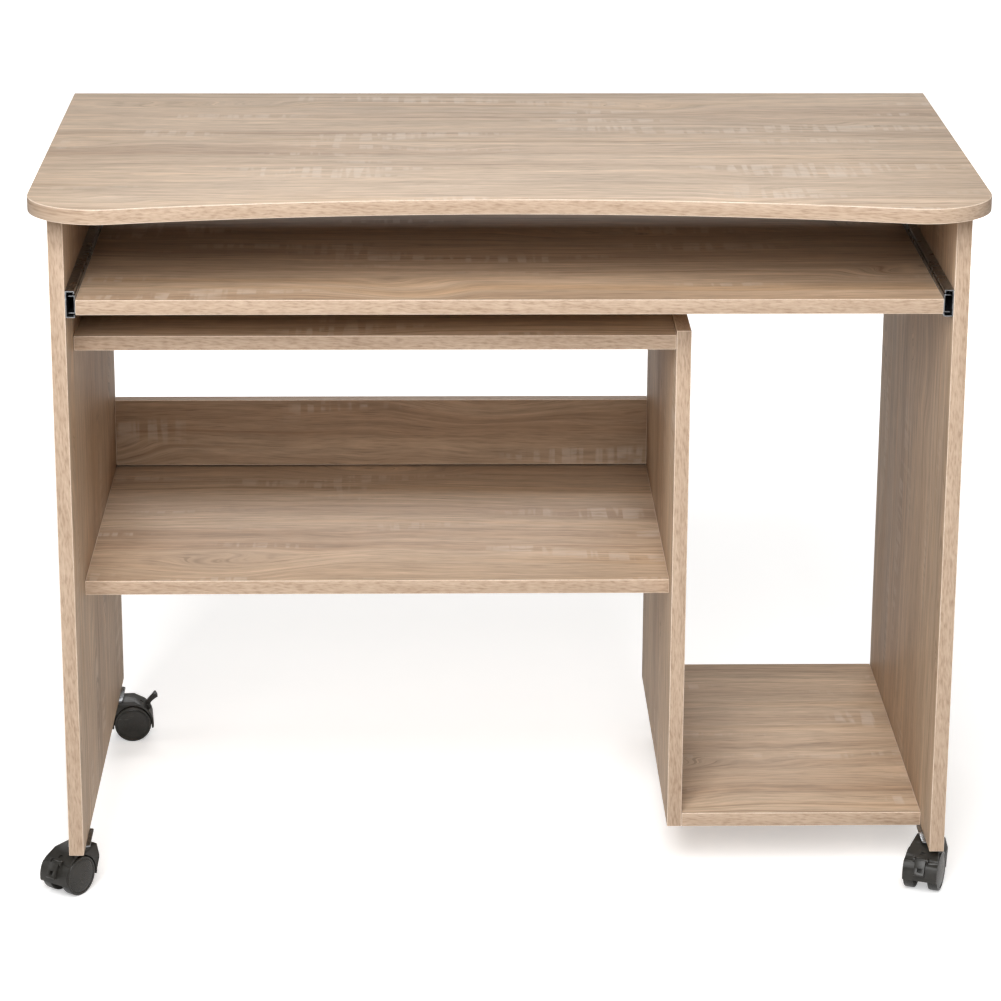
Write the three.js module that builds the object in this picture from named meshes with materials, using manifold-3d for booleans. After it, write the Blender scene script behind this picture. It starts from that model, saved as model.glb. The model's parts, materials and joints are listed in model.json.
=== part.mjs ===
// Computer desk with a pull-out keyboard tray, on four braked twin-wheel castors.
// Millimetres. +Z is up, the desk's front faces -Y, and the origin is on the floor under the
// middle of the desktop.
import * as THREE from "three";
import { mergeVertices } from "three/addons/utils/BufferGeometryUtils.js";
import Module from "manifold-3d";

const wasm = await Module();
wasm.setup();

// ---------- Driving dimensions ----------
const board = 15; // thickness of every laminated board
const jointGap = 0.2; // left between two pieces that are screwed or dowelled together
const carcassWidth = 900; // over the two side panels
const panelDepth = 500;
const topHeight = 745; // floor to desktop surface

const topSideOverhang = 20;
const topFrontOverhang = 50;
const topCornerRadius = 70;
const topFrontSweep = 42; // how far the middle of the front edge is scooped back

const keyboardSpace = 87.5; // tray surface up to the desktop
const trayDepth = 380;
const shelfBelowTray = 40; // fixed shelf surface up to the tray
const dividerRise = 4.5; // divider above the fixed shelf's surface
const printerSpace = 256.5; // lower shelf surface up to the fixed shelf
const towerBayWidth = 251.5;
const dividerSetback = 67; // divider, fixed shelf and tower shelf behind the panel fronts
const lowerShelfSetback = 100;
const railHeight = 77;
const railGap = 2.2; // rail above the lower shelf

const slideHeight = 27;
const slideThickness = 10;
const slideLength = 350;
const slideTravel = 250;
const slideRiseShare = 0.7; // slide's middle above the tray's underside, as a share of the board
const slideFrontInset = 1; // slide's front end behind the tray's front edge
const slideSteel = 1; // sheet thickness of both members
const slideLip = 1.9; // how far the cabinet member's edges turn in
const drawerFlange = 5.4; // depth of the drawer member's flanges behind its web
const ballRadius = 1.6;
const ballPlay = 0.15; // between a ball and the member on either side of it
const ballFacets = 6;
const ballPitch = 20;
const ballsPerRow = 5;
const cageEndMargin = 8; // cage beyond its last ball
const cageSheet = 0.8;
const cageClearance = 0.7; // cage web off the cabinet member's web
const slideScrewFromFront = 35;
const slideScrewSpacing = 260;

const wheelRadius = 21;
const wheelWidth = 10.5;
const wheelDome = 1.5; // bulge of the wheel's outer face
const wheelChamfer = 0.8;
const wheelFacets = 28;
const wheelClearance = 0.6; // wheel's inner face off the hood's middle web
const axleRadius = 2.5;
const axleBoreDepth = 7; // blind bore in the wheel
const wheelRim = 1.6; // flat ring round the wheel's outer face
const wheelRimStep = 0.4; // dome's edge below that ring
const runningGap = 0.3; // around every shaft
const hoodWeb = 14; // thickness of the middle web between the wheels
const hoodGap = 1; // inside of the hood off the wheels
const hoodShell = 2;
const hoodCrown = 5; // hood's flat top above the wheels
const hoodSkirt = 5; // hood's lower edge below the axle
const hoodTopWidth = 30;
const hoodShoulder = 11; // height of the hood's slanted shoulders
const hoodCrestAngle = 66; // degrees, where the hood's round back meets its flat top
const hoodTopReach = 3; // flat top beyond the axle
const stemSocketWall = 3;
const trail = 20.5; // swivel axis to axle, level
const neckLength = 4; // hood's top to the mounting plate
const stemRadius = 4;
const stemDepth = 15; // stem inside the hood
const stemFlangeRadius = 7.5;
const stemFlange = 1.3;
const stemRivetRadius = 3;
const plateThickness = 2;
const plateLength = 45;
const plateWidth = 23;
const plateCorner = 3;
const castorInset = 48; // swivel axis from the panel's front or rear edge
const plateScrewSpacing = 32;

const leverHingeAngle = 43; // degrees above the axle's level, seen from the axle
const leverBarrelRadius = 2.4;
const leverWidth = 11;
const leverOffset = 0.8; // pressed lever off the hood
const leverThickness = 3.2;
const leverTip = 5; // thickness of the flared tip
const leverTipAngle = 6; // degrees, where the pressed lever ends
const leverLift = 110; // degrees between pressed and released
const leverRootAngle = 41; // degrees, where the lever starts
const leverFlareAngle = 20; // degrees, where its flared tip starts
const leverTipSlope = 3; // degrees over which the flared tip is cut back
const leverTipRelief = 1; // by that much
const leverHoleAngle = 18; // degrees, middle of the square hole through the lever's pad
const leverEarWidth = 2.2;
const leverEarWall = 0.6; // ear around the barrel
const leverPinRadius = 1.1;
const leverHole = 4; // side of the lever's square hole
const hoodWindow = 4; // side of the hood's square pocket above the lever
const hoodWindowAngle = 62; // degrees

const screwShankRadius = 1.6;
const screwHeadRadius = 3;
const screwHeadHeight = 1.8;
const screwHeadFlat = 0.7; // flat middle of a pan head, as a share of its radius
const screwHeadProud = 0.05; // countersunk head's face off the sheet's face
const screwLength = 12;
const screwFacets = 10;
const pilotGap = 0.3; // pilot hole's wall off the screw

const roundFacets = 12; // small round bars and bores
const pinFacets = 8;
const stemFacets = 16;
const outlineFacets = 10; // each curve of the desktop's outline, halved
const pastFace = 1; // how far a cutting tool runs past the face it enters
const hairline = 0.01; // keeps a tool's face off the face it would coincide with

// ---------- Levels and lines that follow from them ----------
const castorHeight = 2 * wheelRadius + hoodCrown + neckLength + plateThickness;
const topUnderside = topHeight - board;
const topWidth = carcassWidth + 2 * topSideOverhang;
const topDepth = panelDepth + topFrontOverhang;
const rear = topDepth / 2;
const front = rear - panelDepth;
const innerHalf = carcassWidth / 2 - board;

const traySurface = topUnderside - keyboardSpace;
const trayUnderside = traySurface - board;
const trayHalf = innerHalf - slideThickness;
const fixedShelfTop = trayUnderside - shelfBelowTray;
const lowerShelfTop = fixedShelfTop - board - printerSpace;
const dividerRight = innerHalf - towerBayWidth;
const dividerLeft = dividerRight - board;
const dividerFront = front + dividerSetback;

const drawerMemberHeight = slideHeight - 2 * (slideSteel + 2 * ballRadius + 2 * ballPlay);
const slideMiddle = trayUnderside + slideRiseShare * board;
const slideFront = front + slideFrontInset;
const axleBoreRadius = axleRadius + runningGap;
const hoodInner = wheelRadius + hoodGap;
const hoodOuter = hoodInner + hoodShell;
const hoodTop = 2 * wheelRadius + hoodCrown;
const wheelInnerFace = hoodWeb / 2 + wheelClearance;
const hoodWidth = 2 * (wheelInnerFace + wheelWidth);
const pilotRadius = screwShankRadius + pilotGap;

// ---------- Materials ----------
const oak = new THREE.MeshStandardMaterial({ color: 0xc4ab90, roughness: 0.55, metalness: 0 });
const zinc = new THREE.MeshStandardMaterial({ color: 0x9a9c9e, roughness: 0.35, metalness: 0.9 });
const hoodPlastic = new THREE.MeshStandardMaterial({ color: 0x2f302e, roughness: 0.5, metalness: 0 });
const wheelPlastic = new THREE.MeshStandardMaterial({ color: 0x3a3a3a, roughness: 0.45, metalness: 0 });

// ---------- Geometry helpers ----------
const degrees = THREE.MathUtils.degToRad;

function toSolid(geometry) {
  const bare = geometry.clone();
  bare.deleteAttribute("normal");
  bare.deleteAttribute("uv");
  const merged = mergeVertices(bare, 1e-4);
  return new wasm.Manifold(
    new wasm.Mesh({
      numProp: 3,
      vertProperties: new Float32Array(merged.attributes.position.array),
      triVerts: new Uint32Array(merged.index.array),
    }),
  );
}

function toGeometry(solid) {
  const mesh = solid.getMesh();
  const geometry = new THREE.BufferGeometry();
  geometry.setAttribute("position", new THREE.BufferAttribute(mesh.vertProperties, 3));
  geometry.setIndex(new THREE.BufferAttribute(mesh.triVerts, 1));
  geometry.computeVertexNormals();
  return geometry;
}

function join(...geometries) {
  return toGeometry(geometries.map(toSolid).reduce((whole, piece) => whole.add(piece)));
}

function cut(geometry, ...tools) {
  return toGeometry(tools.map(toSolid).reduce((rest, tool) => rest.subtract(tool), toSolid(geometry)));
}

function common(geometry, other) {
  return toGeometry(toSolid(geometry).intersect(toSolid(other)));
}

// A box between two corners.
function block([x0, y0, z0], [x1, y1, z1]) {
  const box = new THREE.BoxGeometry(x1 - x0, y1 - y0, z1 - z0);
  return box.translate((x0 + x1) / 2, (y0 + y1) / 2, (z0 + z1) / 2);
}

// A profile of [radius, height] points, from the bottom up, turned about Z.
function turned(profile, facets) {
  const points = profile.map(([radius, height]) => new THREE.Vector2(radius, height));
  return new THREE.LatheGeometry(points, facets).rotateX(Math.PI / 2);
}

// A round bar along Z between two heights.
function bar(radius, low, high, facets = roundFacets) {
  return turned([[0, low], [radius, low], [radius, high], [0, high]], facets);
}

// A round bar along Y, its middle at x and z, between two places in Y.
function crossBar(radius, [x, z], low, high, facets = roundFacets) {
  return bar(radius, low, high, facets).rotateX(-Math.PI / 2).translate(x, 0, z);
}

// An outline drawn in X and Z, pulled along Y to the given width about y = 0.
function sidePrism(outline, width, curveSegments = 8) {
  const prism = new THREE.ExtrudeGeometry(outline, {
    depth: width,
    bevelEnabled: false,
    curveSegments,
  });
  return prism.translate(0, 0, -width / 2).rotateX(Math.PI / 2);
}

function polygon(points) {
  return new THREE.Shape(points.map(([x, y]) => new THREE.Vector2(x, y)));
}

const desk = new THREE.Group();

function addTo(parent, name, geometry, material) {
  const mesh = new THREE.Mesh(geometry, material);
  mesh.name = name;
  parent.add(mesh);
  return mesh;
}

// ---------- Screws ----------
// A pan-head screw along +Z: the underside of its head is at z = 0.
function screw() {
  return turned(
    [
      [0, -screwHeadHeight],
      [screwHeadRadius * screwHeadFlat, -screwHeadHeight],
      [screwHeadRadius, -screwHeadHeight / 2],
      [screwHeadRadius, 0],
      [screwShankRadius, 0],
      [screwShankRadius, screwLength - 2 * screwShankRadius],
      [0, screwLength],
    ],
    screwFacets,
  );
}

// A countersunk screw along +Z: the outer face of its head is at z = 0.
function countersunkScrew() {
  return turned(
    [
      [0, 0],
      [screwHeadRadius, 0],
      [screwShankRadius, screwHeadRadius - screwShankRadius],
      [screwShankRadius, screwLength - 2 * screwShankRadius],
      [0, screwLength],
    ],
    screwFacets,
  );
}

// The hole for a screw's shank along Z.
function pilotHole(low, high) {
  return bar(pilotRadius, low, high, screwFacets);
}

// ---------- Castor places, which the side panels' pilot holes share ----------
// heading: degrees from +X, the way the wheels trail from the swivel axis.
const panelMiddle = carcassWidth / 2 - board / 2;
const castors = [
  { name: "front_left", side: -1, y: front + castorInset, heading: 234, released: false },
  { name: "front_right", side: 1, y: front + castorInset, heading: 249, released: false },
  { name: "rear_left", side: -1, y: rear - castorInset, heading: 6, released: true },
  { name: "rear_right", side: 1, y: rear - castorInset, heading: 306, released: true },
];
const plateScrewOffsets = [-plateScrewSpacing / 2, plateScrewSpacing / 2];
const slideScrewPlaces = [
  ["front", slideFront + slideScrewFromFront],
  ["rear", slideFront + slideScrewFromFront + slideScrewSpacing],
];

// ---------- Boards ----------
function desktopOutline() {
  const halfWidth = topWidth / 2;
  const frontEdge = rear - topDepth;
  const flat = halfWidth - topCornerRadius;
  const turn = 2 * Math.atan(topFrontSweep / flat);
  const cornerY = frontEdge + topCornerRadius;
  const sweepRadius = flat / Math.sin(turn) - topCornerRadius;
  const sweepY = frontEdge + topFrontSweep - sweepRadius;
  const outline = new THREE.Shape();
  outline.moveTo(halfWidth, rear);
  outline.lineTo(-halfWidth, rear);
  outline.absarc(-flat, cornerY, topCornerRadius, Math.PI, 1.5 * Math.PI + turn, false);
  outline.absarc(0, sweepY, sweepRadius, Math.PI / 2 + turn, Math.PI / 2 - turn, true);
  outline.absarc(flat, cornerY, topCornerRadius, 1.5 * Math.PI - turn, 2 * Math.PI, false);
  outline.closePath();
  return outline;
}

function desktop() {
  const slab = new THREE.ExtrudeGeometry(desktopOutline(), {
    depth: board,
    bevelEnabled: false,
    curveSegments: outlineFacets,
  });
  return slab.translate(0, 0, topUnderside);
}

function sidePanel(side) {
  const outer = side * carcassWidth / 2;
  const inner = side * innerHalf;
  const panel = block(
    [Math.min(outer, inner), front, castorHeight],
    [Math.max(outer, inner), rear, topUnderside - jointGap],
  );
  const castorHoles = castors.filter((castor) => castor.side === side).flatMap((castor) =>
    plateScrewOffsets.map((offset) =>
      pilotHole(-pastFace, screwLength + pastFace).translate(
        side * panelMiddle,
        castor.y + offset,
        castorHeight,
      ),
    ),
  );
  const slideHoles = slideScrewPlaces.map(([, y]) =>
    pilotHole(-pastFace, screwLength + pastFace)
      .rotateY(side * Math.PI / 2)
      .translate(inner, y, slideMiddle),
  );
  return cut(panel, ...castorHoles, ...slideHoles);
}

function keyboardTray() {
  const tray = block([-trayHalf, front, trayUnderside], [trayHalf, front + trayDepth, traySurface]);
  const holes = [-1, 1].flatMap((side) =>
    slideScrewPlaces.map(([, y]) =>
      pilotHole(-pastFace, screwLength + pastFace)
        .rotateY(-side * Math.PI / 2)
        .translate(side * trayHalf, y, slideMiddle),
    ),
  );
  return cut(tray, ...holes);
}

function addBoards() {
  const leftBay = [-innerHalf + jointGap, dividerLeft - jointGap];
  const rightBay = [dividerRight + jointGap, innerHalf - jointGap];
  const lowerShelfFront = front + lowerShelfSetback;
  const railBottom = lowerShelfTop + railGap;
  addTo(desk, "desktop", desktop(), oak.clone());
  addTo(desk, "side_panel_left", sidePanel(-1), oak.clone());
  addTo(desk, "side_panel_right", sidePanel(1), oak.clone());
  const boards = {
    divider_panel: block(
      [dividerLeft, dividerFront, castorHeight],
      [dividerRight, rear, fixedShelfTop + dividerRise],
    ),
    fixed_shelf: block(
      [leftBay[0], dividerFront, fixedShelfTop - board],
      [leftBay[1], rear, fixedShelfTop],
    ),
    lower_shelf: block(
      [leftBay[0], lowerShelfFront, lowerShelfTop - board],
      [leftBay[1], rear, lowerShelfTop],
    ),
    back_rail: block(
      [leftBay[0], rear - board, railBottom],
      [leftBay[1], rear, railBottom + railHeight],
    ),
    tower_shelf: block(
      [rightBay[0], dividerFront, castorHeight],
      [rightBay[1], rear, castorHeight + board],
    ),
    keyboard_tray: keyboardTray(),
  };
  for (const [name, geometry] of Object.entries(boards)) {
    addTo(desk, name, geometry, oak.clone());
  }
}

// ---------- Ball-bearing slides ----------
// A profile of [depth from the side panel, height above the slide's middle] points,
// pulled backwards from y.
function slideProfile(side, points, y, length) {
  const outline = polygon(points.map(([depth, height]) => [side * (innerHalf - depth), height]));
  return sidePrism(outline, length).translate(0, y + length / 2, slideMiddle);
}

function cabinetMember(side) {
  const half = slideHeight / 2;
  const back = jointGap;
  const mouth = slideThickness - slideSteel + jointGap;
  const member = slideProfile(
    side,
    [
      [back, -half],
      [mouth, -half],
      [mouth, -half + slideSteel + slideLip],
      [mouth - slideSteel, -half + slideSteel + slideLip],
      [mouth - slideSteel, -half + slideSteel],
      [back + slideSteel, -half + slideSteel],
      [back + slideSteel, half - slideSteel],
      [mouth - slideSteel, half - slideSteel],
      [mouth - slideSteel, half - slideSteel - slideLip],
      [mouth, half - slideSteel - slideLip],
      [mouth, half],
      [back, half],
    ],
    slideFront,
    slideLength,
  );
  const headSeat = turned(
    [
      [0, -pastFace],
      [screwHeadRadius + runningGap + pastFace, -pastFace],
      [screwShankRadius + runningGap, screwHeadRadius - screwShankRadius],
      [screwShankRadius + runningGap, screwLength],
      [0, screwLength],
    ],
    screwFacets,
  );
  const seats = slideScrewPlaces.map(([, y]) =>
    headSeat
      .clone()
      .rotateY(side * Math.PI / 2)
      .translate(side * (innerHalf - back - slideSteel), y, slideMiddle),
  );
  return cut(member, ...seats);
}

function drawerMember(side) {
  const half = drawerMemberHeight / 2;
  const back = slideThickness - jointGap;
  const webInner = back - slideSteel;
  const tip = webInner - drawerFlange;
  const member = slideProfile(
    side,
    [
      [back, -half],
      [back, half],
      [tip, half],
      [tip, half - slideSteel],
      [webInner, half - slideSteel],
      [webInner, -half + slideSteel],
      [tip, -half + slideSteel],
      [tip, -half],
    ],
    slideFront,
    slideLength,
  );
  const holes = slideScrewPlaces.map(([, y]) =>
    pilotHole(-slideThickness, slideThickness)
      .rotateY(side * Math.PI / 2)
      .translate(side * trayHalf, y, slideMiddle),
  );
  return cut(member, ...holes);
}

// A U-shaped strip that holds a row of balls above and below the drawer member.
function ballCage(side) {
  const rowHeight = (slideHeight / 2 - slideSteel + drawerMemberHeight / 2) / 2;
  const length = (ballsPerRow - 1) * ballPitch + 2 * cageEndMargin;
  const near = jointGap + slideSteel + cageClearance;
  const ballDepth = slideThickness - jointGap - slideSteel - drawerFlange / 2 - cageSheet;
  const far = ballDepth + ballRadius;
  const top = rowHeight + cageSheet / 2;
  // At rest the cage is half the travel behind where it ends up with the tray pulled out.
  const overlapWhenOut = slideLength - slideTravel;
  const start = slideFront + slideTravel / 2 + (overlapWhenOut - length) / 2;
  const strip = slideProfile(
    side,
    [
      [near, -top],
      [far, -top],
      [far, -top + cageSheet],
      [near + cageSheet, -top + cageSheet],
      [near + cageSheet, top - cageSheet],
      [far, top - cageSheet],
      [far, top],
      [near, top],
    ],
    start,
    length,
  );
  const balls = [-1, 1].flatMap((row) =>
    Array.from({ length: ballsPerRow }, (_, index) =>
      new THREE.SphereGeometry(ballRadius, ballFacets, ballFacets - 1).rotateX(Math.PI / 2).translate(
        side * (innerHalf - ballDepth),
        start + cageEndMargin + index * ballPitch,
        slideMiddle + row * rowHeight,
      ),
    ),
  );
  return join(strip, ...balls);
}

function addSlides() {
  for (const [side, hand] of [[-1, "left"], [1, "right"]]) {
    addTo(desk, `slide_cabinet_${hand}`, cabinetMember(side), zinc.clone());
    addTo(desk, `slide_drawer_${hand}`, drawerMember(side), zinc.clone());
    addTo(desk, `ball_cage_${hand}`, ballCage(side), zinc.clone());
    for (const [place, y] of slideScrewPlaces) {
      const intoPanel = addTo(desk, `panel_screw_${hand}_${place}`, countersunkScrew(), zinc.clone());
      intoPanel.rotation.y = side * Math.PI / 2;
      intoPanel.position.set(
        side * (innerHalf - jointGap - slideSteel + screwHeadProud),
        y,
        slideMiddle,
      );
      const intoTray = addTo(desk, `tray_screw_${hand}_${place}`, screw(), zinc.clone());
      intoTray.rotation.y = -side * Math.PI / 2;
      intoTray.position.set(side * (trayHalf + 2 * jointGap + slideSteel), y, slideMiddle);
    }
  }
}

// ---------- Castors ----------
// Each castor is drawn with its swivel axis on Z and its wheels trailing along +X.
const axleAt = [trail, wheelRadius];

// A point at a distance from the axle, at an angle above its level on the trailing side.
function aroundAxle(distance, angle) {
  const turn = degrees(angle);
  return [axleAt[0] + distance * Math.cos(turn), axleAt[1] + distance * Math.sin(turn)];
}

const leverHinge = aroundAxle(hoodOuter + leverOffset, leverHingeAngle);

function hoodOutline() {
  const skirtTurn = Math.asin(hoodSkirt / hoodOuter);
  const socketEdge = -stemRadius - runningGap - stemSocketWall;
  const outline = new THREE.Shape();
  outline.absarc(...axleAt, hoodOuter, -skirtTurn, degrees(hoodCrestAngle), false);
  outline.lineTo(axleAt[0] + hoodTopReach, hoodTop);
  outline.lineTo(socketEdge, hoodTop);
  outline.lineTo(socketEdge, hoodTop - stemDepth);
  outline.absarc(...axleAt, hoodOuter, Math.PI, Math.PI + skirtTurn, false);
  outline.closePath();
  return outline;
}

// The hood seen along the trail: upright sides with slanted shoulders.
function hoodSection() {
  const half = hoodWidth / 2;
  const halfTop = hoodTopWidth / 2;
  const low = axleAt[1] - hoodSkirt - pastFace;
  const shoulder = hoodTop - hoodShoulder;
  const outline = polygon([
    [-half, low],
    [half, low],
    [half, shoulder],
    [halfTop, hoodTop + hairline],
    [-halfTop, hoodTop + hairline],
    [-half, shoulder],
  ]);
  const reach = 2 * (trail + hoodOuter);
  return sidePrism(outline, 2 * reach).rotateZ(Math.PI / 2);
}

// A square punch of the given side, across the line from the axle at that angle.
function squareTool(side, distance, angle, depth) {
  const half = side / 2;
  const tool = block([-depth, -half, -half], [depth, half, half]);
  const [x, z] = aroundAxle(distance, angle);
  return tool.rotateY(-degrees(angle)).translate(x, 0, z);
}

function hood() {
  const ears = [-1, 1].map((side) =>
    crossBar(
      leverBarrelRadius + runningGap + leverEarWall,
      leverHinge,
      side > 0 ? leverWidth / 2 + runningGap : -leverWidth / 2 - runningGap - leverEarWidth,
      side > 0 ? leverWidth / 2 + runningGap + leverEarWidth : -leverWidth / 2 - runningGap,
    ),
  );
  const body = common(sidePrism(hoodOutline(), hoodWidth), hoodSection());
  const wheelSpaces = [
    crossBar(hoodInner, axleAt, hoodWeb / 2, hoodWidth, wheelFacets),
    crossBar(hoodInner, axleAt, -hoodWidth, -hoodWeb / 2, wheelFacets),
  ];
  const cleared = cut(body, ...wheelSpaces);
  return cut(
    join(cleared, ...ears),
    bar(stemRadius + runningGap, hoodTop - stemDepth - runningGap, hoodTop + pastFace),
    crossBar(axleBoreRadius, axleAt, -hoodWidth, hoodWidth),
    crossBar(
      leverBarrelRadius + runningGap,
      leverHinge,
      -leverWidth / 2 - runningGap,
      leverWidth / 2 + runningGap,
    ),
    crossBar(leverPinRadius + runningGap, leverHinge, -hoodWidth / 2, hoodWidth / 2, pinFacets),
    squareTool(hoodWindow, hoodOuter, hoodWindowAngle, hoodShell),
  );
}

function wheel(side) {
  const inner = wheelInnerFace;
  const outer = inner + wheelWidth;
  // The tread's flat facets lie at the wheel's radius, so it stands on one of them.
  const tread = wheelRadius / Math.cos(Math.PI / wheelFacets);
  const rim = tread - wheelRim;
  const domeEdge = outer - wheelRimStep;
  const profile = [
    [axleBoreRadius, inner],
    [tread - wheelChamfer, inner],
    [tread, inner + wheelChamfer],
    [tread, outer - wheelChamfer],
    [tread - wheelChamfer, outer],
    [rim, outer],
    [rim - wheelRimStep, domeEdge],
    [rim * Math.SQRT1_2, domeEdge + wheelDome / 2],
    [0, domeEdge + wheelDome],
  ];
  const bore = [[0, inner + axleBoreDepth], [axleBoreRadius, inner + axleBoreDepth]];
  const solid = turned([...bore, ...profile], wheelFacets);
  solid.rotateZ(Math.PI / wheelFacets);
  return solid.rotateX(-side * Math.PI / 2).translate(axleAt[0], 0, axleAt[1]);
}

function lever() {
  const inner = hoodOuter + leverOffset;
  const outer = inner + leverThickness;
  const outline = new THREE.Shape();
  outline.absarc(...axleAt, inner, degrees(leverTipAngle), degrees(leverRootAngle), false);
  outline.absarc(...axleAt, outer, degrees(leverRootAngle), degrees(leverFlareAngle), true);
  outline.lineTo(...aroundAxle(inner + leverTip, leverTipAngle + leverTipSlope));
  outline.lineTo(...aroundAxle(inner + leverTip - leverTipRelief, leverTipAngle));
  outline.closePath();
  const pinReach = leverWidth / 2 + leverEarWidth;
  const pad = sidePrism(outline, leverWidth, 4);
  const barrel = crossBar(leverBarrelRadius, leverHinge, -leverWidth / 2, leverWidth / 2);
  const pin = crossBar(leverPinRadius, leverHinge, -pinReach, pinReach, pinFacets);
  return cut(join(pad, barrel, pin), squareTool(leverHole, inner, leverHoleAngle, 2 * leverThickness));
}

function stem() {
  const plateTop = castorHeight - jointGap;
  const flangeTop = plateTop - plateThickness - jointGap;
  return turned(
    [
      [0, hoodTop - stemDepth + runningGap],
      [stemRadius, hoodTop - stemDepth + runningGap],
      [stemRadius, flangeTop - stemFlange],
      [stemFlangeRadius, flangeTop - stemFlange],
      [stemFlangeRadius, flangeTop],
      [stemRivetRadius, flangeTop],
      [stemRivetRadius, plateTop],
      [0, plateTop],
    ],
    stemFacets,
  );
}

function plate() {
  const halfWidth = plateWidth / 2;
  const halfLength = plateLength / 2;
  const outline = new THREE.Shape();
  const corners = [
    [halfWidth, halfLength, 0],
    [-halfWidth, halfLength, Math.PI / 2],
    [-halfWidth, -halfLength, Math.PI],
    [halfWidth, -halfLength, 1.5 * Math.PI],
  ];
  for (const [x, y, start] of corners) {
    const centreX = x - Math.sign(x) * plateCorner;
    const centreY = y - Math.sign(y) * plateCorner;
    outline.absarc(centreX, centreY, plateCorner, start, start + Math.PI / 2, false);
  }
  outline.closePath();
  const sheet = new THREE.ExtrudeGeometry(outline, {
    depth: plateThickness,
    bevelEnabled: false,
    curveSegments: 2,
  }).translate(0, 0, castorHeight - jointGap - plateThickness);
  const holes = plateScrewOffsets.map((offset) =>
    pilotHole(0, castorHeight + pastFace).translate(0, offset, 0),
  );
  return cut(sheet, bar(stemRivetRadius + runningGap, 0, castorHeight + pastFace), ...holes);
}

function addCastor({ name, side, y, heading, released }) {
  const fixed = new THREE.Group();
  fixed.position.set(side * panelMiddle, y, 0);
  addTo(fixed, `castor_plate_${name}`, plate(), zinc.clone());
  addTo(fixed, `castor_stem_${name}`, stem(), zinc.clone());
  const headUnderside = castorHeight - jointGap - plateThickness - jointGap;
  plateScrewOffsets.forEach((offset, index) => {
    const fastener = addTo(fixed, `castor_screw_${name}_${index + 1}`, screw(), zinc.clone());
    fastener.position.set(0, offset, headUnderside);
  });

  const turning = new THREE.Group();
  turning.position.copy(fixed.position);
  turning.rotation.z = degrees(heading);
  const axleReach = wheelInnerFace + axleBoreDepth - runningGap;
  addTo(turning, `castor_hood_${name}`, hood(), hoodPlastic.clone());
  addTo(turning, `castor_axle_${name}`, crossBar(axleRadius, axleAt, -axleReach, axleReach), zinc.clone());
  addTo(turning, `castor_wheel_${name}_a`, wheel(-1), wheelPlastic.clone());
  addTo(turning, `castor_wheel_${name}_b`, wheel(1), wheelPlastic.clone());
  const hinge = new THREE.Group();
  hinge.position.set(leverHinge[0], 0, leverHinge[1]);
  hinge.rotation.y = released ? -degrees(leverLift) : 0;
  const drawnAtAxle = lever().translate(-leverHinge[0], 0, -leverHinge[1]);
  addTo(hinge, `brake_lever_${name}`, drawnAtAxle, hoodPlastic.clone());
  turning.add(hinge);
  desk.add(fixed, turning);
}

addBoards();
addSlides();
castors.forEach(addCastor);

export default desk;
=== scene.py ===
"""Looks for the computer desk with a keyboard tray: oak laminate boards, zinc slides and
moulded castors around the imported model. Metres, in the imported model's own frame."""

import json
import math

import bmesh
import bpy
from mathutils import Matrix, Vector

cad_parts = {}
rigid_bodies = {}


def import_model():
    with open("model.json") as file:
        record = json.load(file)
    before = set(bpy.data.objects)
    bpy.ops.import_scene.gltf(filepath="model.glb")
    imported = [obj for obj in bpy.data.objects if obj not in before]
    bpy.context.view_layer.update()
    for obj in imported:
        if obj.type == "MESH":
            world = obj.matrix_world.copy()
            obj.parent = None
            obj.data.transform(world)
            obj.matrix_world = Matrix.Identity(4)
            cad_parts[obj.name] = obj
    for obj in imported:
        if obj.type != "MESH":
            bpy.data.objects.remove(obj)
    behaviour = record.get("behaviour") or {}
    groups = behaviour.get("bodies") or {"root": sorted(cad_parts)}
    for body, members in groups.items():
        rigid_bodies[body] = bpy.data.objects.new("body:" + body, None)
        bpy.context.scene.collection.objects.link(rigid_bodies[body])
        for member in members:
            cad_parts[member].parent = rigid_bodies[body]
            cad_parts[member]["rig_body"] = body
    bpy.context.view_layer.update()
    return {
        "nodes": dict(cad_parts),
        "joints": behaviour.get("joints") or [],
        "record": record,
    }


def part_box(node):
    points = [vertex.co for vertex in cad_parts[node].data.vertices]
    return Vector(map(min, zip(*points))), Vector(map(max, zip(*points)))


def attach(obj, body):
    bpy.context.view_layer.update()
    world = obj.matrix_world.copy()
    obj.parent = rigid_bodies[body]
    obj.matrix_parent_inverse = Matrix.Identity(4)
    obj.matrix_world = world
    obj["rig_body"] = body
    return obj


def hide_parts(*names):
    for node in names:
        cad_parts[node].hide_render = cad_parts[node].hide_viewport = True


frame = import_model()
MM = 0.001
WHITE = (1.0, 1.0, 1.0, 1.0)

# ---------- Which nodes are boards, and how their grain runs ----------
# name: (grain direction, direction through the board's thickness, place in the print)
BOARDS = {
    "desktop": ("X", "Z", (0.30, 0.12, 0.0)),
    "keyboard_tray": ("X", "Z", (3.10, 1.70, 0.4)),
    "fixed_shelf": ("X", "Z", (5.70, 2.90, 0.8)),
    "lower_shelf": ("X", "Z", (8.35, 4.10, 1.2)),
    "tower_shelf": ("X", "Z", (11.20, 5.30, 1.6)),
    "back_rail": ("X", "Y", (13.90, 6.70, 2.0)),
    "side_panel_left": ("Z", "X", (16.40, 7.90, 2.4)),
    "side_panel_right": ("Z", "X", (19.10, 9.10, 2.8)),
    "divider_panel": ("Z", "X", (21.80, 10.30, 3.2)),
}
BODY_OF = {name: node["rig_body"] for name, node in frame["nodes"].items()}
SLOT_OF = {part["node"]: part["material_slot"] for part in frame["record"]["subparts"]}


def nodes_on(body):
    """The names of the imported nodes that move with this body."""
    return [name for name, owner in BODY_OF.items() if owner == body]


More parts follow.
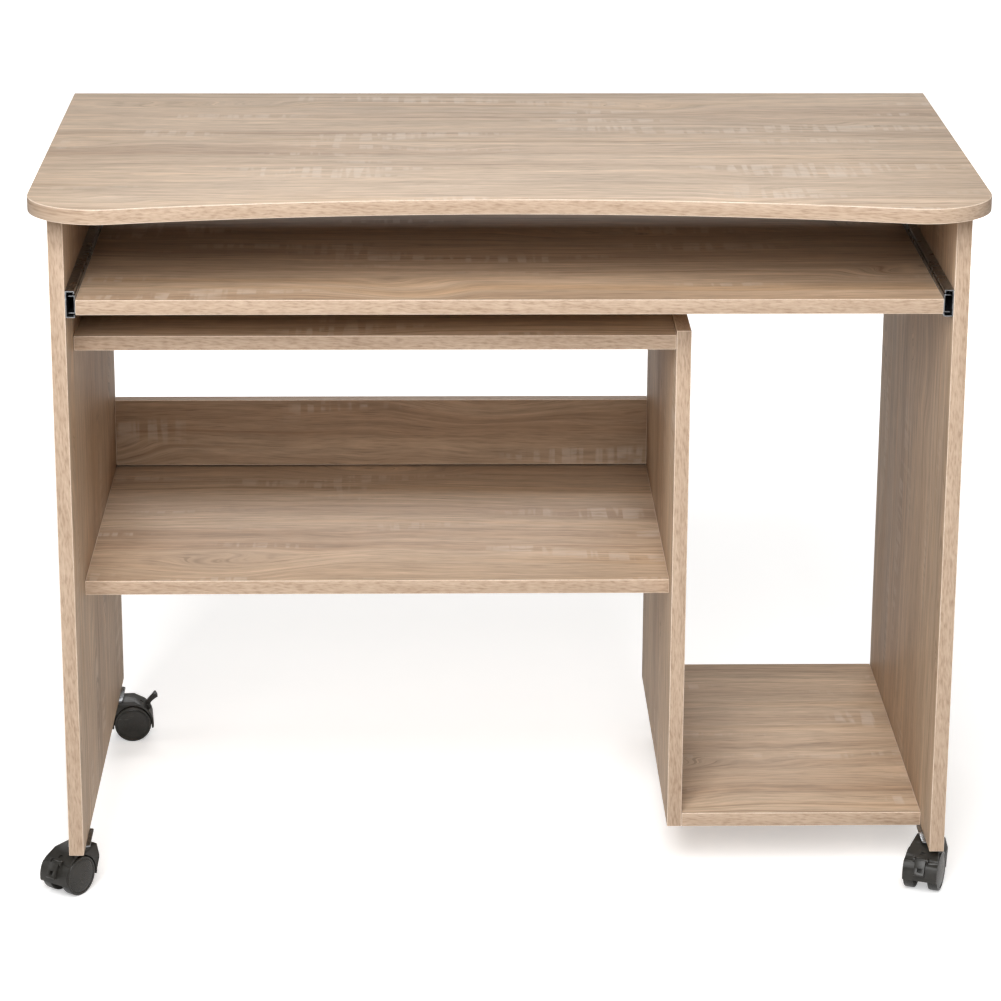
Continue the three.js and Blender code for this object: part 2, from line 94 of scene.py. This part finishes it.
def srgb(red, green, blue):
    """A colour given as 0 to 255 screen values, as the linear colour that a shader takes."""
    def linear(value):
        value /= 255
        return value / 12.92 if value <= 0.04045 else ((value + 0.055) / 1.055) ** 2.4
    return (linear(red), linear(green), linear(blue), 1.0)


# ---------- Node graphs ----------
class Graph:
    """Adds nodes to a material's tree. A method that makes a value or a colour returns the
    new node's output socket, and takes sockets or plain numbers."""

    def __init__(self, material):
        self.tree = material.node_tree
        self.shader = self.tree.nodes["Principled BSDF"]

    def feed(self, socket, value):
        if isinstance(value, bpy.types.NodeSocket):
            self.tree.links.new(value, socket)
        else:
            socket.default_value = value

    def drive(self, name, value):
        """Feeds the shader's input of that name."""
        self.feed(self.shader.inputs[name], value)

    def math(self, operation, a, b=0.0, c=0.0):
        node = self.tree.nodes.new("ShaderNodeMath")
        node.operation = operation
        for socket, value in zip(node.inputs, (a, b, c)):
            self.feed(socket, value)
        return node.outputs[0]

    def total(self, base, *layers):
        """The base plus each layer's value times its weight."""
        for value, weight in layers:
            base = self.math("MULTIPLY_ADD", value, weight, base)
        return base

    def around_one(self, value, swing):
        """A 0 to 1 noise as a factor that swings by that much either side of 1."""
        return self.total(1 - swing, (value, 2 * swing))

    def clip(self, value, start, full):
        """0 at start, 1 at full, and a smooth step between them. Full may be the lower."""
        node = self.tree.nodes.new("ShaderNodeMapRange")
        node.interpolation_type = "SMOOTHSTEP"
        self.feed(node.inputs["Value"], value)
        node.inputs["From Min"].default_value = start
        node.inputs["From Max"].default_value = full
        return node.outputs["Result"]

    def vector(self, x, y, z):
        node = self.tree.nodes.new("ShaderNodeCombineXYZ")
        for socket, value in zip(node.inputs, (x, y, z)):
            self.feed(socket, value)
        return node.outputs[0]

    def scaled(self, vector, scale):
        """The vector with each of its parts times the same part of scale."""
        node = self.tree.nodes.new("ShaderNodeVectorMath")
        node.operation = "MULTIPLY"
        self.feed(node.inputs[0], vector)
        node.inputs[1].default_value = scale
        return node.outputs[0]

    def axes(self, output):
        """The x, y and z of a texture coordinate of the object itself."""
        place = self.tree.nodes.new("ShaderNodeTexCoord")
        split = self.tree.nodes.new("ShaderNodeSeparateXYZ")
        self.tree.links.new(place.outputs[output], split.inputs[0])
        return split.outputs[0], split.outputs[1], split.outputs[2]

    def position(self):
        return self.tree.nodes.new("ShaderNodeTexCoord").outputs["Object"]

    def camera_sees(self):
        """1 for a ray straight from the camera and 0 for any other."""
        return self.tree.nodes.new("ShaderNodeLightPath").outputs["Is Camera Ray"]

    def noise(self, vector, scale=1.0, detail=2.0, roughness=0.5):
        node = self.tree.nodes.new("ShaderNodeTexNoise")
        self.feed(node.inputs["Vector"], vector)
        node.inputs["Scale"].default_value = scale
        node.inputs["Detail"].default_value = detail
        node.inputs["Roughness"].default_value = roughness
        return node.outputs["Fac"]

    def cells(self, vector, scale):
        """How far each place is from the middle of the irregular cell that it is in."""
        node = self.tree.nodes.new("ShaderNodeTexVoronoi")
        self.feed(node.inputs["Vector"], vector)
        node.inputs["Scale"].default_value = scale
        return node.outputs["Distance"]

    def ramp(self, value, stops):
        """The colour at that value between the stops, (place, colour) pairs in rising order."""
        node = self.tree.nodes.new("ShaderNodeValToRGB")
        self.feed(node.inputs["Fac"], value)
        elements = node.color_ramp.elements
        while len(elements) < len(stops):
            elements.new(0.5)
        for element, (place, colour) in zip(elements, stops):
            element.position = place
            element.color = colour
        return node.outputs["Color"]

    def mix(self, share, a, b):
        """Colour a, with colour b in its place by that share."""
        node = self.tree.nodes.new("ShaderNodeMix")
        node.data_type = "RGBA"
        self.feed(node.inputs["Factor"], share)
        self.feed(node.inputs["A"], a)
        self.feed(node.inputs["B"], b)
        return node.outputs["Result"]

    def shade(self, colour, amount):
        """The colour times amount, a number around 1."""
        node = self.tree.nodes.new("ShaderNodeVectorMath")
        node.operation = "SCALE"
        self.feed(node.inputs[0], colour)
        self.feed(node.inputs["Scale"], amount)
        return node.outputs[0]

    def bump(self, height, distance):
        """Relief on the surface: distance is how far a height of 1 stands out."""
        node = self.tree.nodes.new("ShaderNodeBump")
        node.inputs["Distance"].default_value = distance
        self.feed(node.inputs["Height"], height)
        self.feed(self.shader.inputs["Normal"], node.outputs["Normal"])


def new_material(name):
    material = bpy.data.materials.new(name)
    material.use_nodes = True
    return material, Graph(material)


# ---------- Oak laminate ----------
OAK_TONES = [
    (0.30, srgb(171, 144, 119)),
    (0.44, srgb(186, 161, 136)),
    (0.56, srgb(195, 171, 146)),
    (0.70, srgb(189, 160, 130)),
]
BAND_TONES = [
    (0.30, srgb(163, 137, 114)),
    (0.50, srgb(184, 160, 138)),
    (0.70, srgb(199, 176, 154)),
]
ARRIS_TONES = [
    (0.35, srgb(214, 191, 168)),
    (0.65, srgb(240, 222, 203)),
]
RING_TONE = srgb(138, 108, 84)
SAW_TONE = srgb(214, 198, 182)

# What streaks() takes for each part of the print on a face. FLOW, EYES and RIPPLE bend the
# grain, by the metres given below them.
FLOW = {"waves": (1.3, 3.2), "place": 0.0}
EYES = {"waves": (3.4, 10.0), "place": 1.7, "detail": 0.0, "span": (0.60, 0.84)}
RIPPLE = {"waves": (11.0, 24.0), "place": 6.2}
PLANKS = {"waves": (0.55, 17.0), "place": 3.7, "roughness": 0.6}
CLOUDS = {"waves": (4.0, 14.0), "place": 8.3, "detail": 3.0}
GROWTH = {"waves": (3.4, 95.0), "place": 1.1, "detail": 3.0, "roughness": 0.7}
FIBRES = {"waves": (15.0, 220.0), "place": 5.9, "detail": 3.0, "roughness": 0.8}
RINGED = {"waves": (1.7, 16.0), "place": 7.3, "detail": 1.0, "span": (0.50, 0.62)}
PORES = {"waves": (30.0, 900.0), "place": 9.1, "detail": 1.0, "span": (0.58, 0.72)}
SAW_LINES = {"waves": (130.0, 9.0), "place": 2.3, "detail": 1.0, "span": (0.44, 0.58)}
SAW_PATCHES = {"waves": (4.2, 21.0), "place": 8.8, "detail": 1.0, "span": (0.56, 0.68)}
SAW_MOTTLE = {"waves": (40.0, 150.0), "place": 4.4, "span": (0.25, 0.60)}
FLOW_BEND = 0.075
EYE_BEND = 0.045
RIPPLE_BEND = 0.006

CLOUD_SWING = 0.16  # of the brightness, either side of 1
GROWTH_SWING = 0.42
FIBRE_SWING = 0.50
RINGS_PER_METRE = 48.0
RING_WAVER = 0.3  # how far the growth lines push a ring, where the next ring is 1 away
RING_LINE = 0.13  # how far a ring's dark line takes to fade out on each side, likewise
RING_SHARE = 0.55
PORE_DARKNESS = 0.28
SAW_SHARE = 0.54
FIBRE_RELIEF = 0.5
SAW_RELIEF = 0.4

# What streaks() takes for the print on the edge band.
BAND_WAVE = {"waves": (22.0, 60.0), "place": 6.6}
BAND_FLECKS = {"waves": (95.0, 560.0), "place": 3.1, "roughness": 0.6}
BAND_CLOUDS = {"waves": (9.0, 120.0), "place": 1.9, "detail": 1.0}
BAND_SLANT = 0.05  # metres through the board for each metre along it
BAND_WAVE_BEND = 0.005
BAND_DARK = (0.44, 0.34)  # the fleck noise where dark flecks start and where they are full
BAND_DARKNESS = 0.08
BAND_RELIEF = 0.5

FACE_SQUARENESS = 0.9  # least cosine from a face's normal to the way through the board
OAK_RELIEF = 0.06 * MM
OAK_ROUGHNESS = 0.46
OAK_SPECULAR = 0.3
BAND_ARRIS_RELIEF = 0.02 * MM


def streaks(graph, along, across, waves, place, span=None, **settings):
    """Noise drawn out along the grain. Waves says how many there are per metre along and
    across it, and place sets it apart from other streaks. A span keeps what lies beyond
    its first value, fully from its second."""
    waves_along, waves_across = waves
    spot = graph.vector(graph.math("MULTIPLY", along, waves_along),
                        graph.math("MULTIPLY", across, waves_across), place)
    value = graph.noise(spot, **settings)
    return graph.clip(value, *span) if span else value


def board_face(graph, along, across):
    """The print on a board's faces: planks, growth lines that bend round eyes in the
    wood, pores and pale rough-saw marks. Returns the colour and the height of its relief."""
    flow = streaks(graph, along, across, **FLOW)
    eyes = streaks(graph, along, across, **EYES)
    ripple = streaks(graph, along, across, **RIPPLE)
    bent = graph.total(across, (flow, FLOW_BEND), (eyes, EYE_BEND), (ripple, RIPPLE_BEND))

    colour = graph.ramp(streaks(graph, along, bent, **PLANKS), OAK_TONES)
    clouds = streaks(graph, along, across, **CLOUDS)
    growth = streaks(graph, along, bent, **GROWTH)
    fibres = streaks(graph, along, bent, **FIBRES)
    for layer, swing in ((clouds, CLOUD_SWING), (growth, GROWTH_SWING), (fibres, FIBRE_SWING)):
        colour = graph.shade(colour, graph.around_one(layer, swing))

    rings = graph.total(0.0, (bent, RINGS_PER_METRE), (growth, RING_WAVER))
    from_ring = graph.math("PINGPONG", rings, 0.5)  # 0 on a ring, 0.5 halfway to the next
    ringed = streaks(graph, along, bent, **RINGED)
    lines = graph.math("MULTIPLY", graph.clip(from_ring, RING_LINE, 0.0), ringed)
    colour = graph.mix(graph.math("MULTIPLY", lines, RING_SHARE), colour, RING_TONE)

    pores = streaks(graph, along, bent, **PORES)
    colour = graph.shade(colour, graph.total(1.0, (pores, -PORE_DARKNESS)))

    marks = streaks(graph, along, across, **SAW_LINES)
    for limit in (SAW_PATCHES, SAW_MOTTLE):
        marks = graph.math("MULTIPLY", marks, streaks(graph, along, across, **limit))
    colour = graph.mix(graph.math("MULTIPLY", marks, SAW_SHARE), colour, SAW_TONE)

    relief = graph.total(0.0, (fibres, FIBRE_RELIEF), (pores, -1.0), (marks, -SAW_RELIEF))
    return colour, relief


def board_edge(graph, along, through):
    """The edge band's print: short slanting flecks along the board. Returns the colour and
    the height of its relief."""
    wave = streaks(graph, along, through, **BAND_WAVE)
    bent = graph.total(through, (along, BAND_SLANT), (wave, BAND_WAVE_BEND))
    flecks = streaks(graph, along, bent, **BAND_FLECKS)
    clouds = streaks(graph, along, bent, **BAND_CLOUDS)
    colour = graph.ramp(graph.total(0.0, (flecks, 0.7), (clouds, 0.3)), BAND_TONES)
    dark = graph.clip(flecks, *BAND_DARK)
    colour = graph.shade(colour, graph.total(1.0, (dark, -BAND_DARKNESS)))
    return colour, graph.math("MULTIPLY", flecks, BAND_RELIEF)


def oak_board(name, grain, thickness, print_place):
    """One board's laminate: the face print where the surface looks along the board's
    thickness, and the edge band's print everywhere else."""
    material, graph = new_material(f"oak_{name}")
    places = dict(zip("XYZ", graph.axes("Object")))
    facings = dict(zip("XYZ", graph.axes("Normal")))
    (width,) = set("XYZ") - {grain, thickness}
    along = graph.math("ADD", places[grain], print_place[0])
    across = graph.math("ADD", places[width], print_place[1])
    through = graph.math("ADD", places[thickness], print_place[2])
    face_colour, face_relief = board_face(graph, along, across)
    edge_colour, edge_relief = board_edge(graph, graph.math("ADD", along, across), through)

    squareness = graph.math("ABSOLUTE", facings[thickness])
    is_face = graph.math("GREATER_THAN", squareness, FACE_SQUARENESS)
    graph.drive("Base Color", graph.mix(is_face, edge_colour, face_colour))
    difference = graph.math("SUBTRACT", face_relief, edge_relief)
    relief = graph.total(edge_relief, (difference, is_face))
    graph.bump(relief, OAK_RELIEF)
    worn = graph.noise(graph.position(), scale=9.0, detail=3.0)
    graph.drive("Roughness", graph.total(OAK_ROUGHNESS, (relief, -0.06), (worn, 0.14)))
    graph.drive("Specular IOR Level", OAK_SPECULAR)
    return material


def arris_material():
    """The scraped corner of the edge band, which is a little lighter than its face."""
    material, graph = new_material("edge_band_arris")
    place = graph.position()
    chatter = graph.noise(place, scale=420.0)
    broad = graph.noise(place, scale=14.0)
    tone = graph.total(0.0, (chatter, 0.5), (broad, 0.5))
    graph.drive("Base Color", graph.ramp(tone, ARRIS_TONES))
    graph.drive("Roughness", graph.total(0.3, (chatter, 0.2)))
    graph.bump(chatter, BAND_ARRIS_RELIEF)
    return material


# ---------- Steel and plastics ----------
CRYSTALS_PER_METRE = 260.0
STEEL_RELIEF = 0.01 * MM
SCUFF_STRETCH = (60.0, 60.0, 300.0)
SCUFF_SPAN = (0.60, 0.80)


def steel(name, dark, light, roughness, line_scale):
    """Bright metal: a faint crystal pattern, drawing lines and dull spots."""
    material, graph = new_material(name)
    place = graph.position()
    crystals = graph.cells(place, CRYSTALS_PER_METRE)
    lines = graph.noise(graph.scaled(place, line_scale), detail=3.0, roughness=0.6)
    spots = graph.noise(place, scale=55.0, detail=4.0, roughness=0.65)
    tone = graph.total(0.0, (spots, 0.35), (crystals, 0.25), (lines, 0.5))
    graph.drive("Base Color", graph.ramp(tone, [(0.25, dark), (0.75, light)]))
    graph.drive("Metallic", 1.0)
    graph.drive("Roughness", graph.total(roughness, (spots, 0.25)))
    graph.bump(lines, STEEL_RELIEF)
    return material


def moulded(name, dark, light, roughness, grain_scale, grain_depth):
    """Moulded plastic: spark-eroded grain, slight flow shading and scuffs."""
    material, graph = new_material(name)
    place = graph.position()
    grain = graph.noise(place, scale=grain_scale, roughness=0.7)
    flow = graph.noise(place, scale=38.0, detail=3.0)
    scratches = graph.noise(graph.scaled(place, SCUFF_STRETCH), detail=4.0, roughness=0.7)
    scuffs = graph.clip(scratches, *SCUFF_SPAN)
    tone = graph.total(0.0, (grain, 0.3), (flow, 0.7))
    colour = graph.ramp(tone, [(0.30, dark), (0.75, light)])
    graph.drive("Base Color", graph.shade(colour, graph.total(1.0, (scuffs, 0.25))))
    graph.drive("Roughness", graph.total(roughness, (scuffs, 0.12), (grain, 0.16)))
    graph.bump(grain, grain_depth)
    return material


ARRIS = arris_material()
MATERIAL_OF_SLOT = {
    "zinc_steel": steel("zinc_plated_sheet", dark=srgb(88, 90, 93), light=srgb(168, 171, 174),
                        roughness=0.16, line_scale=(40.0, 6.0, 700.0)),
    "screw_steel": steel("bright_screw", dark=srgb(140, 140, 138), light=srgb(205, 205, 202),
                         roughness=0.18, line_scale=(300.0, 300.0, 300.0)),
    "hood_plastic": moulded("hood_nylon", dark=srgb(32, 31, 28), light=srgb(54, 52, 48),
                            roughness=0.36, grain_scale=1800.0, grain_depth=0.03 * MM),
    "wheel_plastic": moulded("wheel_nylon", dark=srgb(36, 35, 33), light=srgb(56, 55, 51),
                             roughness=0.18, grain_scale=2400.0, grain_depth=0.01 * MM),
}

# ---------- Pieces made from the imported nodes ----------
SAME_PLACE = 0.002 * MM  # corners nearer than this are one corner
SAME_PLANE = 0.3  # degrees: faces this close to flat are one face
ARRIS_SEGMENTS = 2
BOARD_ARRIS = 0.7 * MM
STEEL_ARRIS = 0.15 * MM
HOOD_ARRIS = 1.0 * MM
LEVER_ARRIS = 0.5 * MM
BOARD_CREASE = 30.0  # degrees between two faces that meet at a sharp edge
FITTING_CREASE = 35.0
BOARD_SHORTEST = 3.0 * MM  # a shorter edge belongs to a round hole and isn't rounded
FITTING_SHORTEST = 0.6 * MM


def place_in_scene(mesh, name):
    """The bmesh as a new object, with every face smooth. It is used up by this."""
    for face in mesh.faces:
        face.smooth = True
    data = bpy.data.meshes.new(name)
    mesh.to_mesh(data)
    mesh.free()
    piece = bpy.data.objects.new(name, data)
    bpy.context.scene.collection.objects.link(piece)
    return piece


def finished_copy(node, arris, crease, shortest, arris_slot=0):
    """The node's own shape as one clean mesh, its sharp arrises rounded by that much and
    its curved faces smooth. The roundings take the material in arris_slot."""
    mesh = bmesh.new()
    mesh.from_mesh(frame["nodes"][node].data)
    bmesh.ops.remove_doubles(mesh, verts=mesh.verts, dist=SAME_PLACE)
    bmesh.ops.dissolve_limit(mesh, angle_limit=math.radians(SAME_PLANE),
                             verts=mesh.verts, edges=mesh.edges)

    def is_sharp(edge):
        return edge.is_manifold and edge.calc_face_angle() > math.radians(crease)

    to_round = [edge for edge in mesh.edges if is_sharp(edge) and edge.calc_length() > shortest]
    bmesh.ops.bevel(mesh, geom=to_round, offset=arris, offset_type="OFFSET",
                    segments=ARRIS_SEGMENTS, profile=0.5, affect="EDGES",
                    clamp_overlap=True, material=arris_slot)
    for edge in mesh.edges:
        edge.smooth = not is_sharp(edge)
    return place_in_scene(mesh, f"{node}_finished")


def stand_for(piece, node):
    """The piece takes the node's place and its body."""
    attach(piece, BODY_OF[node])
    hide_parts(node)


for board, (grain, thickness, print_place) in BOARDS.items():
    piece = finished_copy(board, BOARD_ARRIS, BOARD_CREASE, BOARD_SHORTEST, arris_slot=1)
    piece.data.materials.append(oak_board(board, grain, thickness, print_place))
    piece.data.materials.append(ARRIS)
    stand_for(piece, board)

# ---------- Castor wheels ----------
WHEEL_SIDES = 96
WHEEL_RIM = 1.7 * MM  # width of the flat ring round the outer face
WHEEL_GROOVE = 0.5 * MM  # sunk line inside that ring
WHEEL_BORE = 2.8 * MM  # radius of the axle's hole
WHEEL_BORE_DEPTH = 7.0 * MM
WHEEL_DOME = 1.1 * MM  # rise of the outer face's middle
WHEEL_CREASE = 28.0  # degrees
TREAD_ROUND = 0.9 * MM
TREAD_CROWN = 0.12 * MM
DOME_RINGS = 7
ROUND_STEPS = 4


def wheel_profile(radius, width):
    """Half the wheel's section as (radius, depth) points: bore, inner face, rounded tread,
    flat ring, sunk line and domed disc. Depth runs outwards from the inner face."""
    shoulder = radius - TREAD_CROWN
    turns = [math.pi / 2 * step / ROUND_STEPS for step in range(ROUND_STEPS + 1)]
    points = [(0.0, WHEEL_BORE_DEPTH), (WHEEL_BORE, WHEEL_BORE_DEPTH), (WHEEL_BORE, 0.0)]
    points += [(shoulder - TREAD_ROUND * (1 - math.sin(turn)),
                TREAD_ROUND * (1 - math.cos(turn))) for turn in turns]
    points.append((radius, width / 2))
    points += [(shoulder - TREAD_ROUND * (1 - math.cos(turn)),
                width - TREAD_ROUND * (1 - math.sin(turn))) for turn in turns]
    ring = radius - TREAD_ROUND - WHEEL_RIM
    points += [(ring, width), (ring - WHEEL_GROOVE, width - WHEEL_GROOVE)]
    disc = ring - 2 * WHEEL_GROOVE
    disc_edge = width - WHEEL_GROOVE / 2
    rise = WHEEL_DOME + WHEEL_GROOVE / 2
    for step in range(DOME_RINGS):
        share = 1 - step / DOME_RINGS
        points.append((disc * share, disc_edge + rise * (1 - share ** 2)))
    points.append((0.0, width + WHEEL_DOME))
    return points


def lathe(name, points, sides):
    """A closed smooth mesh from (radius, depth) points turned about X. The profile starts
    and ends on the axis."""
    mesh = bmesh.new()
    turns = [2 * math.pi * side / sides for side in range(sides)]
    rings = []
    for radius, depth in points:
        if radius == 0.0:
            ring = [mesh.verts.new((depth, 0.0, 0.0))]
        else:
            ring = [mesh.verts.new((depth, radius * math.cos(turn), radius * math.sin(turn)))
                    for turn in turns]
        rings.append(ring)
    for low, high in zip(rings, rings[1:]):
        for side in range(sides):
            following = (side + 1) % sides
            corners = [low[side % len(low)], low[following % len(low)],
                       high[following % len(high)], high[side % len(high)]]
            mesh.faces.new(dict.fromkeys(corners))  # a triangle where a ring is one point
    bmesh.ops.recalc_face_normals(mesh, faces=mesh.faces)
    for edge in mesh.edges:
        edge.smooth = edge.calc_face_angle() < math.radians(WHEEL_CREASE)
    return place_in_scene(mesh, name)


def add_wheel(joint):
    """The wheel that turns on this joint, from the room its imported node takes."""
    (node,) = nodes_on(joint["child"])
    centre = Vector(joint["pos_m"])
    axis = Vector(joint["axis"]).normalized()
    reach = [(vertex.co - centre).dot(axis) for vertex in frame["nodes"][node].data.vertices]
    outwards = axis if max(reach) > -min(reach) else -axis
    inner = abs(min(reach, key=abs))
    outer = abs(max(reach, key=abs))
    low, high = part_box(node)
    profile = wheel_profile((high.z - low.z) / 2, outer - inner - WHEEL_DOME)
    piece = lathe(f"{node}_turned", profile, WHEEL_SIDES)
    turn = outwards.to_track_quat("X", "Z").to_matrix().to_4x4()
    piece.data.transform(Matrix.Translation(centre + inner * outwards) @ turn)
    piece.data.materials.append(MATERIAL_OF_SLOT["wheel_plastic"])
    stand_for(piece, node)


for joint in frame["joints"]:
    if SLOT_OF[nodes_on(joint["child"])[0]] == "wheel_plastic":
        add_wheel(joint)

# ---------- Slides, screws and castor hoods ----------
for node, slot in SLOT_OF.items():
    if node in BOARDS or slot == "wheel_plastic":
        continue
    arris = STEEL_ARRIS
    if slot == "hood_plastic":
        arris = HOOD_ARRIS if "hood" in node else LEVER_ARRIS
    piece = finished_copy(node, arris, FITTING_CREASE, FITTING_SHORTEST)
    piece.data.materials.append(MATERIAL_OF_SLOT[slot])
    stand_for(piece, node)

# ---------- Camera ----------
CAMERA_PLACE = Vector((-0.0846, -3.4889, 1.5192))
CAMERA_YAW = 1.321  # degrees to the right of straight ahead
CAMERA_PITCH = 17.363  # degrees down
CAMERA_ROLL = 0.256  # degrees
LENS = 124.24  # mm
SHIFT = -0.06  # of the sensor's width


def add_camera():
    yaw, pitch, roll = (math.radians(a) for a in (CAMERA_YAW, CAMERA_PITCH, CAMERA_ROLL))
    ahead = Vector((math.sin(yaw) * math.cos(pitch), math.cos(yaw) * math.cos(pitch),
                    -math.sin(pitch)))
    level = Vector((math.cos(yaw), -math.sin(yaw), 0.0))
    above = level.cross(ahead)
    right = math.cos(roll) * level + math.sin(roll) * above
    up = math.cos(roll) * above - math.sin(roll) * level
    facing = Matrix((right, up, -ahead)).transposed().to_4x4()
    data = bpy.data.cameras.new("camera")
    data.lens = LENS
    data.shift_y = SHIFT
    camera = bpy.data.objects.new("camera", data)
    camera.matrix_world = Matrix.Translation(CAMERA_PLACE) @ facing
    bpy.context.scene.collection.objects.link(camera)
    bpy.context.scene.camera = camera


# ---------- Studio ----------
DESK_MIDDLE = (0.0, 0.0, 0.45)
DESK_TOP = (0.0, 0.0, 0.7)
# name: (place, the point that it faces, width, height, watts)
SOFTBOXES = {
    "front": ((-0.3, -2.7, 2.4), DESK_MIDDLE, 1.8, 2.0, 126.0),
    "rear": ((0.1, 3.2, 2.5), DESK_TOP, 3.0, 1.0, 52.0),
    "overhead": ((0.0, 0.4, 3.2), DESK_MIDDLE, 2.4, 1.8, 17.0),
    "left": ((-3.2, 0.1, 1.2), DESK_MIDDLE, 1.0, 1.4, 13.0),
    "right": ((3.2, 0.1, 1.2), DESK_MIDDLE, 1.0, 1.4, 13.0),
}
SURROUND = 0.07  # the walls' light on the desk, where the camera sees 1
WARM_WALLS = (1.0, 0.84, 0.66, 1.0)
FLOOR_HALF = 14.0
FLOOR_CELLS = 8
FLOOR_TONES = [(0.3, (0.90, 0.90, 0.90, 1.0)), (0.7, (0.92, 0.92, 0.92, 1.0))]
FLOOR_ROUGHNESS = 0.8
GLOW_NEAR = 0.42  # the floor's own light to the camera, under the desk and far from it
GLOW_FAR = 1.0
GLOW_SPAN = (0.7, 3.2)  # metres from the desk's middle where it starts to rise, and is full


def softbox(name, place, target, width, height, power):
    data = bpy.data.lights.new(name, "AREA")
    data.shape = "RECTANGLE"
    data.size = width
    data.size_y = height
    data.energy = power
    light = bpy.data.objects.new(name, data)
    light.location = place
    light.visible_camera = False
    light.rotation_mode = "QUATERNION"
    light.rotation_quaternion = (Vector(target) - Vector(place)).to_track_quat("-Z", "Y")
    bpy.context.scene.collection.objects.link(light)


def add_world():
    """A dim, warm and even surround, which the camera sees as white."""
    world = bpy.data.worlds.new("studio")
    world.use_nodes = True
    tree = world.node_tree
    seen = tree.nodes.new("ShaderNodeLightPath").outputs["Is Camera Ray"]
    background = tree.nodes["Background"]
    level = tree.nodes.new("ShaderNodeMapRange")
    level.inputs["To Min"].default_value = SURROUND
    level.inputs["To Max"].default_value = 1.0
    tree.links.new(seen, level.inputs["Value"])
    tree.links.new(level.outputs["Result"], background.inputs["Strength"])
    tint = tree.nodes.new("ShaderNodeMix")
    tint.data_type = "RGBA"
    tint.inputs["A"].default_value = WARM_WALLS
    tint.inputs["B"].default_value = WHITE
    tree.links.new(seen, tint.inputs["Factor"])
    tree.links.new(tint.outputs["Result"], background.inputs["Color"])
    bpy.context.scene.world = world


def floor_paint():
    """Pale paint that glows to the camera alone, white away from the desk."""
    material, graph = new_material("floor_paint")
    speckle = graph.noise(graph.position(), scale=30.0, detail=3.0)
    graph.drive("Base Color", graph.ramp(speckle, FLOOR_TONES))
    graph.drive("Roughness", FLOOR_ROUGHNESS)
    graph.drive("Emission Color", WHITE)
    x, y, _ = graph.axes("Object")
    away = graph.math("SQRT", graph.total(0.0, (y, y), (x, x)))
    glow = graph.total(GLOW_NEAR, (graph.clip(away, *GLOW_SPAN), GLOW_FAR - GLOW_NEAR))
    graph.drive("Emission Strength", graph.math("MULTIPLY", glow, graph.camera_sees()))
    return material


def add_floor():
    """A pale floor with a soft contact shadow, washed out to white away from the desk."""
    mesh = bmesh.new()
    bmesh.ops.create_grid(mesh, x_segments=FLOOR_CELLS, y_segments=FLOOR_CELLS, size=FLOOR_HALF)
    floor = place_in_scene(mesh, "floor")
    floor.data.materials.append(floor_paint())


add_camera()
add_world()
add_floor()
for light, settings in SOFTBOXES.items():
    softbox(light, *settings)
bpy.context.scene.view_settings.view_transform = "Standard"
